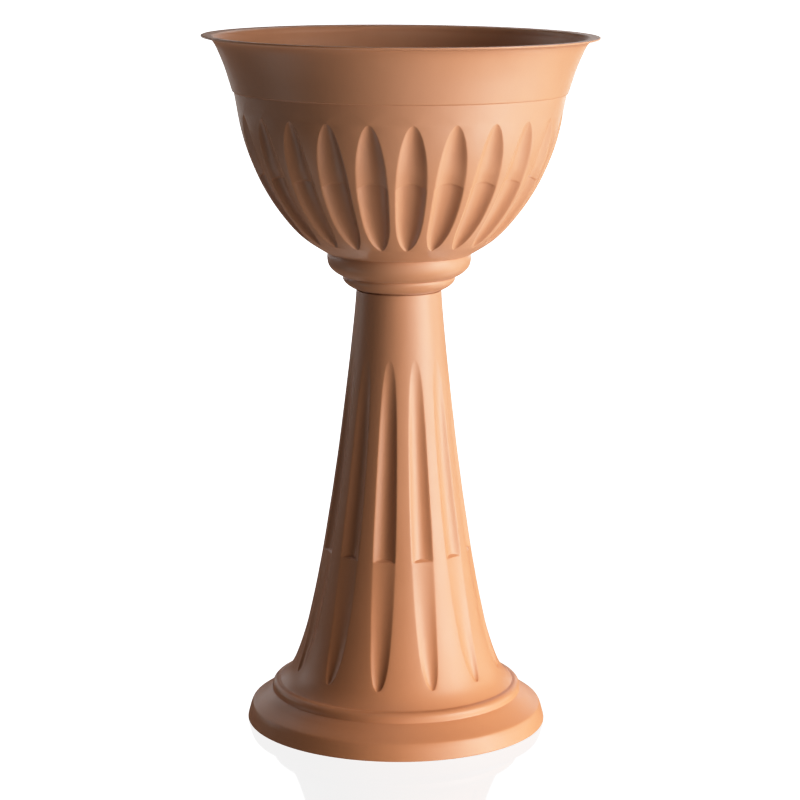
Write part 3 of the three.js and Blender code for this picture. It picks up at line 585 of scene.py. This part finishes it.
# bead, plinth and band of the foot
column.turned(path([(121.1, 41.75), (121.7, 41.5), (122.4, 41.45), (123.6, 41.3), (125.6, 40.6), (127.2, 39.5), (128.4, 38.0), (129.0, 36.2), (129.2, 34.0), (129.25, 32.4), (129.35, 31.75)], 0.8))
column.turned(path([(129.6, 31.45), (130.4, 31.0), (132.0, 29.9), (134.6, 28.05), (138.2, 25.3), (142.0, 22.6), (145.6, 20.2), (148.0, 18.6)], 1.2))
column.turned(path([(149.3, 17.75), (150.1, 17.05), (150.8, 16.0), (151.5, 14.4), (152.2, 12.6), (153.1, 9.4), (154.0, 6.0), (154.9, 2.6), (155.2, 1.2)], 1.3))
column.turned([(155.25, 0.7), (155.0, 0.25), (154.4, 0.0), (149.7, 0.0), (149.3, 0.3)])
# inside of the foot and of the shaft
column.turned(path([(149.1, 1.2), (148.4, 11.6), (147.6, 14.6), (145.6, 16.6), (138.6, 21.8), (131.6, 26.4), (127.6, 28.4), (126.2, 30.6), (125.6, 34.4), (123.4, 37.4), (118.8, 39.6), (112.2, 46.4), (108.6, 50.6)], 2.6))
column.turned([offset(column_curve, 53.0, WALL)], fade=fl["foot"])
column.turned([offset(column_curve, 55.6, WALL)], fade=fl["foot"])
inner = [(z, "below") for z in spread(fl["foot"], fl["ledge"] - 3.0, 1.6, 9.0)]
inner += [(z, "above") for z in spread(fl["top"], fl["ledge"] + 3.0, 2.0, 11.0)[::-1]]
column.fluted(column_curve, inner, inset=WALL, soft=0.7)
for z in (391.0, 398.0, 406.0):
    column.turned([offset(column_curve, z, WALL)], fade=fl["top"])
column.turned([offset(column_curve, z, WALL) for z in (420.0, 434.0, 444.0)])
column.turned(path([(40.3, 448.0), (39.4, 451.0), (38.7, 454.6), (38.6, 460.0), (38.7, 464.0)], 3.0))
disc_under = HEAD_DISC_TOP_Z - HEAD_DISC_T
column.turned([(39.1, 470.0), (HEAD_R - WALL, disc_under - 0.8), (HEAD_R - WALL - 0.3, disc_under - 0.1), (HEAD_R - WALL - 1.0, disc_under)])

b = Build()
v, f = column.mesh()
b.add(v, f)
first, last = column.rings[0], column.rings[-1]
head_holes = [circle(HEAD_DRAIN_R, 40, *polar(DRAIN_PITCH_R, 360 / DRAINS * i)) for i in range(DRAINS)]
bore = circle(BOLT_HOLE_R, 40)
boss = circle(BOSS_R, 60)
hexagon = circle(POCKET_FLATS / math.sqrt(3), 6, turn=math.pi / 2)
b.plate(HEAD_DISC_TOP_Z, [(p[0], p[1]) for p in first], head_holes + [bore], True)
b.plate(disc_under, [(p[0], p[1]) for p in last], head_holes + [boss], False)
for h in head_holes:
    b.tube(counter(h), disc_under, HEAD_DISC_TOP_Z, False)
b.tube(counter(boss), POCKET_FOOT_Z, disc_under, True)
b.plate(POCKET_FOOT_Z, boss, [hexagon], False)
b.tube(counter(hexagon), POCKET_FOOT_Z, POCKET_TOP_Z, False)
b.plate(POCKET_TOP_Z, hexagon, [bore], False)
b.tube(counter(bore), POCKET_TOP_Z, HEAD_DISC_TOP_Z, False)
column_piece = b.object("column_shaft", terracotta, "column_body", "column")


# ---------------------------------------------------------------- knob bolt
def knob_bolt():
    b = Build()
    n = 144
    lobes = 6

    def ring(r, z, lobe):
        out = []
        for i in range(n):
            t = TAU * i / n
            rr = r - lobe + lobe * math.cos(lobes * t)
            out.append((rr * math.sin(t), -rr * math.cos(t), z))
        return out

    section = []
    # from the middle of the top outwards, then down and in to the shank
    for r, z, lobe in [(3.2, 513.3, 0.0), (5.2, 513.34, 0.0), (6.4, 513.3, 0.0), (6.9, 512.9, 0.0), (7.3, 512.75, 0.02), (8.4, 512.95, 0.1), (10.4, 513.5, 0.35), (12.4, 513.88, 0.8), (14.0, 514.0, 1.3), (15.2, 513.85, 1.7), (16.1, 513.35, 1.88), (16.7, 512.55, 1.9), (16.95, 511.4, 1.9), (17.0, 509.4, 1.9), (17.0, 506.6, 1.9), (17.0, 503.6, 1.9), (16.95, 501.9, 1.9), (16.7, 501.0, 1.9), (16.2, 500.45, 1.85), (15.4, 500.22, 1.7), (14.0, 500.2, 1.3), (9.0, 500.2, 0.2), (6.6, 500.2, 0.0)]:
        section.append(ring(r, z, lobe))
    # shank with its thread
    top, tip, pitch, deep = 498.4, BOLT_TIP_Z + 1.8, 1.9, 0.62
    z = 500.2
    section.append(ring(BOLT_R + 0.5, 500.2, 0.0))
    section.append(ring(BOLT_R + 0.1, 499.9, 0.0))
    section.append(ring(BOLT_R - 0.05, 499.4, 0.0))
    rows = 150
    for k in range(rows + 1):
        z = top + (tip - top) * k / rows
        ease = min(1.0, k / 8.0, (rows - k) / 8.0)
        out = []
        for i in range(n):
            t = TAU * i / n
            phase = ((z - tip) / pitch + i / n) % 1.0
            cut = deep * min(1.0, max(0.0, 1.25 - abs(phase - 0.5) * 3.2)) * ease
            r = BOLT_R - 0.05 - cut
            out.append((r * math.sin(t), -r * math.cos(t), z))
        section.append(out)
    section.append(ring(BOLT_R - 0.5, tip - 0.5, 0.0))
    section.append(ring(BOLT_R - 1.3, BOLT_TIP_Z + 0.2, 0.0))
    section.append(ring(BOLT_R - 1.9, BOLT_TIP_Z, 0.0))
    v = np.concatenate([np.array(s) for s in section])
    faces = []
    for a in range(len(section) - 1):
        for i in range(n):
            j = (i + 1) % n
            faces.append((a * n + i, (a + 1) * n + i, (a + 1) * n + j, a * n + j))
    faces.append(tuple(range(n)))
    s = (len(section) - 1) * n
    faces.append(tuple(s + i for i in range(n - 1, -1, -1)))
    b.add(v, faces)
    return b.object("fixing_knob", brown, "bolt_body", "fixing_bolt", 40)


knob_bolt()

# ---------------------------------------------------------------- sealing washer
b = Build()
w0 = FLOOR_TOP_Z + 0.3
w1 = w0 + WASHER_T
b.turned(path([(WASHER_HOLE_R + 0.5, w1), (9.0, w1 - 0.04), (13.5, w1), (15.2, w1 - 0.12), (15.8, w1 - 0.5), (WASHER_R, w1 - 1.3), (15.8, w0 + 0.5), (15.2, w0 + 0.1), (13.5, w0), (9.0, w0 + 0.04), (WASHER_HOLE_R + 0.5, w0), (WASHER_HOLE_R + 0.12, w0 + 0.3), (WASHER_HOLE_R, w0 + 1.3), (WASHER_HOLE_R + 0.12, w1 - 0.3)], 0.7), 96)
b.object("rubber_washer", rubber, "bolt_body", "sealing_washer", 50)


# ---------------------------------------------------------------- captive nut
def hex_nut():
    b = Build()
    n = 96
    corner = NUT_FLATS / math.sqrt(3)

    def hexring(z, cap):
        """Hexagon with corners on the Y axis, cut back to radius cap."""
        out = []
        for i in range(n):
            t = TAU * i / n
            local = ((t + math.pi / 6) % (math.pi / 3)) - math.pi / 6
            r = min(NUT_FLATS / 2 / math.cos(abs(abs(local) - math.pi / 6)), cap)
            out.append((r * math.sin(t), -r * math.cos(t), z))
        return out

    def round_ring(r, z):
        return [(r * math.sin(TAU * i / n), -r * math.cos(TAU * i / n), z) for i in range(n)]

    z0, z1 = NUT_FOOT_Z, NUT_FOOT_Z + NUT_T
    rings = [round_ring(NUT_BORE_R + 0.7, z1), round_ring(8.3, z1)]
    for k in range(6):
        u = k / 5
        rings.append(hexring(z1 - 0.06 - 0.75 * u, 8.45 + (corner - 8.45) * u))
    for k in range(6):
        u = 1 - k / 5
        rings.append(hexring(z0 + 0.06 + 0.75 * u, 8.45 + (corner - 8.45) * u))
    rings += [round_ring(8.3, z0), round_ring(NUT_BORE_R + 0.7, z0)]
    for k in range(61):
        z = z0 + 0.5 + (NUT_T - 1.0) * k / 60
        out = []
        for i in range(n):
            t = TAU * i / n
            phase = ((z - z0) / 1.9 + i / n) % 1.0
            ease = min(1.0, k / 6.0, (60 - k) / 6.0)
            r = NUT_BORE_R + 0.05 + 0.5 * min(1.0, max(0.0, 1.25 - abs(phase - 0.5) * 3.2)) * ease
            out.append((r * math.sin(t), -r * math.cos(t), z))
        rings.append(out)
    v = np.concatenate([np.array(s) for s in rings])
    faces = []
    for a in range(len(rings)):
        c = (a + 1) % len(rings)
        for i in range(n):
            j = (i + 1) % n
            faces.append((a * n + i, c * n + i, c * n + j, a * n + j))
    b.add(v, faces)
    return b.object("hex_nut", steel, "column_body", "captive_nut", 40)


hex_nut()

# ---------------------------------------------------------------- drain plugs
foot = FLOOR_TOP_Z + 0.3
for i in range(DRAINS):
    b = Build()
    b.turned(
        [(0.0, foot + 8.4)]
        + path([(0.9, foot + 8.36), (1.8, foot + 8.05), (2.5, foot + 7.4), (2.85, foot + 6.6), (2.7, foot + 5.6), (2.35, foot + 4.8), (2.4, foot + 3.9), (3.0, foot + 3.25), (4.2, foot + 2.9)], 0.45)
        + path([(5.6, foot + 2.72), (7.2, foot + 2.45), (8.3, foot + 2.0), (8.85, foot + 1.3), (PLUG_HEAD_R, foot + 0.7), (8.85, foot + 0.2), (8.4, foot)], 0.5)
        + [(7.0, foot), (6.1, foot + 0.02)]
        + path([(5.72, foot - 0.2), (PLUG_STEM_R, foot - 1.2), (PLUG_STEM_R, foot - 3.4), (5.6, foot - 4.0), (5.1, foot - 4.4), (5.05, foot - 5.0), (5.6, foot - 5.5), (PLUG_STEM_R, foot - 6.2), (5.5, foot - 7.4), (5.0, foot - 9.2), (4.5, PLUG_TIP_Z + 0.35), (4.1, PLUG_TIP_Z)], 0.6)
        + [(0.0, PLUG_TIP_Z)],
        64,
        polar(DRAIN_PITCH_R, 360 / DRAINS * i),
        closed=False,
    )
    b.object(f"rubber_plug_{i + 1}", rubber, f"plug_{i + 1}_body", f"drain_plug_{i + 1}", 50)

# ---------------------------------------------------------------- ground and the white cards round it
def ring_mesh(name, rings, n):
    """Open band of quads through (r, z) rings, seen from inside or above."""
    vs, fs = [], []
    for r, z in rings:
        vs += [(r * math.sin(TAU * i / n), -r * math.cos(TAU * i / n), z) for i in range(n)]
    for a in range(len(rings) - 1):
        fs += [(a * n + i, (a + 1) * n + i, (a + 1) * n + (i + 1) % n, a * n + (i + 1) % n) for i in range(n)]
    me = bpy.data.meshes.new(name)
    me.from_pydata(vs, [], fs)
    o = bpy.data.objects.new(name, me)
    bpy.context.scene.collection.objects.link(o)
    return o


ground = ring_mesh("ground", [(r, -0.0004) for r in (3.6, 2.4, 1.2, 0.6, 0.3, 0.12, 0.02)], 96)
gm, nt, s, at = start("white_table")
grain = noise(nt, at, 260.0, 3.0, 0.5)
s.inputs["Base Color"].default_value = (0.01, 0.01, 0.01, 1)
wire(nt, ranged(nt, grain, 0.3, 0.7, 0.03, 0.07), s.inputs["Roughness"])
s.inputs["Emission Color"].default_value = (1, 1, 1, 1)
s.inputs["Emission Strength"].default_value = 1.0
bumps(nt, [(grain, 0.03, 0.0001)], s)
ground.data.materials.append(gm)
ground.visible_diffuse = ground.visible_glossy = ground.visible_shadow = False

cards = ring_mesh("cards", [(3.9, -0.01), (3.9, 1.6), (3.4, 2.6), (2.5, 3.4), (1.3, 3.8), (0.02, 3.9)], 96)
cm, nt, s, at = start("white_card")
s.inputs["Base Color"].default_value = (0.01, 0.01, 0.01, 1)
s.inputs["Roughness"].default_value = 1.0
s.inputs["Emission Color"].default_value = (1, 1, 1, 1)
s.inputs["Emission Strength"].default_value = 3.0
cards.data.materials.append(cm)
cards.visible_camera = cards.visible_diffuse = cards.visible_shadow = False
lit = bpy.data.collections.new("card_light")
lit.objects.link(ground)
cards.light_linking.receiver_collection = lit
# the soft lights don't show as squares in the glossy table
vase_only = bpy.data.collections.new("vase_light")
vase_only.objects.link(ground)
vase_only.collection_objects[0].light_linking.link_state = "EXCLUDE"

# ---------------------------------------------------------------- light
world = bpy.data.worlds.new("studio")
bpy.context.scene.world = world
world.use_nodes = True
nt = world.node_tree
bg = nt.nodes["Background"]
out = nt.nodes["World Output"]
tc = nt.nodes.new("ShaderNodeTexCoord")
sep = nt.nodes.new("ShaderNodeSeparateXYZ")
wire(nt, tc.outputs["Generated"], sep.inputs["Vector"])
bg.inputs["Color"].default_value = (1, 1, 1, 1)
# what the white floor gives to the vase
wire(nt, ranged(nt, sep.outputs["Z"], -0.02, -0.1, 0.017, 0.065), bg.inputs["Strength"])
seen = nt.nodes.new("ShaderNodeBackground")
seen.inputs["Strength"].default_value = 2.0
seen.inputs["Color"].default_value = (1, 1, 1, 1)
lp = nt.nodes.new("ShaderNodeLightPath")
mx = nt.nodes.new("ShaderNodeMixShader")
wire(nt, lp.outputs["Is Camera Ray"], mx.inputs[0])
wire(nt, bg.outputs[0], mx.inputs[1])
wire(nt, seen.outputs[0], mx.inputs[2])
wire(nt, mx.outputs[0], out.inputs["Surface"])


def softbox(name, azimuth, elevation, distance, size, power, target=(0, 0, 0.4), colour=(1, 1, 1)):
    """Area light at an azimuth from the front, + to the right, looking at the vase."""
    data = bpy.data.lights.new(name, "AREA")
    data.shape = "RECTANGLE"
    data.size, data.size_y = size
    data.energy = power
    data.color = colour
    a, e = math.radians(azimuth), math.radians(elevation)
    loc = Vector(target) + distance * Vector((math.sin(a) * math.cos(e), -math.cos(a) * math.cos(e), math.sin(e)))
    o = bpy.data.objects.new(name, data)
    o.location = loc
    o.rotation_euler = (Vector(target) - loc).to_track_quat("-Z", "Y").to_euler()
    o.visible_camera = False
    bpy.context.scene.collection.objects.link(o)
    o.light_linking.receiver_collection = vase_only
    return o


# one large key from the right, in four parts, and weak light from the other sides
for name, azimuth, elevation, power in [
    ("key_left_low", 60, 0, 22.6), ("key_right_low", 78, 0, 20.8), ("key_left_high", 60, 18, 24.1), ("key_right_high", 75, 18, 14.1),
    ("front_right", 34, 0, 9.6), ("side_right", 115, 0, 6.5), ("rear_right", 155, 6, 6.2), ("rear_middle", 180, 6, 3.6), ("rear_high", 167, 35, 5.6),
    ("rear_left", -150, 6, 3.6), ("side_left", -116, 6, 5.5), ("side_left_high", -131, 35, 4.1), ("overhead", 0, 72, 3.0), ("overhead_middle", 0, 90, 2.5),
    # what the glossy white floor throws back
    ("floor_middle", 12, -30, 3.0), ("floor_front", 38, -18, 7.0), ("floor_key_left", 60, -18, 15.2), ("floor_key_right", 75, -18, 11.0), ("floor_side", 98, -18, 8.1),
    ("floor_rear", 120, -40, 6.4), ("floor_left", -90, -32, 3.8), ("floor_under", 180, -64, 32.4),
]:
    softbox(name, azimuth, elevation, 2.4, (0.85, 0.85), power)

# ---------------------------------------------------------------- film
# a soft shoulder in the highlights, as in the photograph
scene = bpy.context.scene
scene.use_nodes = True
nt = scene.node_tree
nt.nodes.clear()
layers = nt.nodes.new("CompositorNodeRLayers")
split = nt.nodes.new("CompositorNodeSeparateColor")
join = nt.nodes.new("CompositorNodeCombineColor")
done = nt.nodes.new("CompositorNodeComposite")
wire(nt, layers.outputs["Image"], split.inputs[0])


def film(op, a, b):
    m = nt.nodes.new("CompositorNodeMath")
    m.operation = op
    for i, v in enumerate((a, b)):
        if isinstance(v, (int, float)):
            m.inputs[i].default_value = v
        else:
            wire(nt, v, m.inputs[i])
    return m.outputs[0]


SHOULDER, BEND = 1.08, 4.0
for i in range(3):
    x = split.outputs[i]
    fall = film("POWER", film("ADD", film("POWER", film("DIVIDE", film("MAXIMUM", x, 0.0), SHOULDER), BEND), 1.0), 1 / BEND)
    wire(nt, film("DIVIDE", x, fall), join.inputs[i])
wire(nt, split.outputs[3], join.inputs[3])
wire(nt, join.outputs[0], done.inputs[0])

# ---------------------------------------------------------------- camera
cam_data = bpy.data.cameras.new("camera")
cam_data.sensor_width = 36.0
cam_data.lens = 2662.3 / 800.0 * 36.0
cam_data.clip_end = 100.0
cam = bpy.data.objects.new("camera", cam_data)
bpy.context.scene.collection.objects.link(cam)
cam.matrix_world = (
    Matrix.Translation((0.00193, -2.6878, 0.8654))
    @ Matrix.Rotation(math.radians(90 - 11.113), 4, "X")
    @ Matrix.Rotation(math.radians(0.406), 4, "Z")
)
bpy.context.scene.camera = cam
bpy.context.scene.view_settings.view_transform = "Standard"
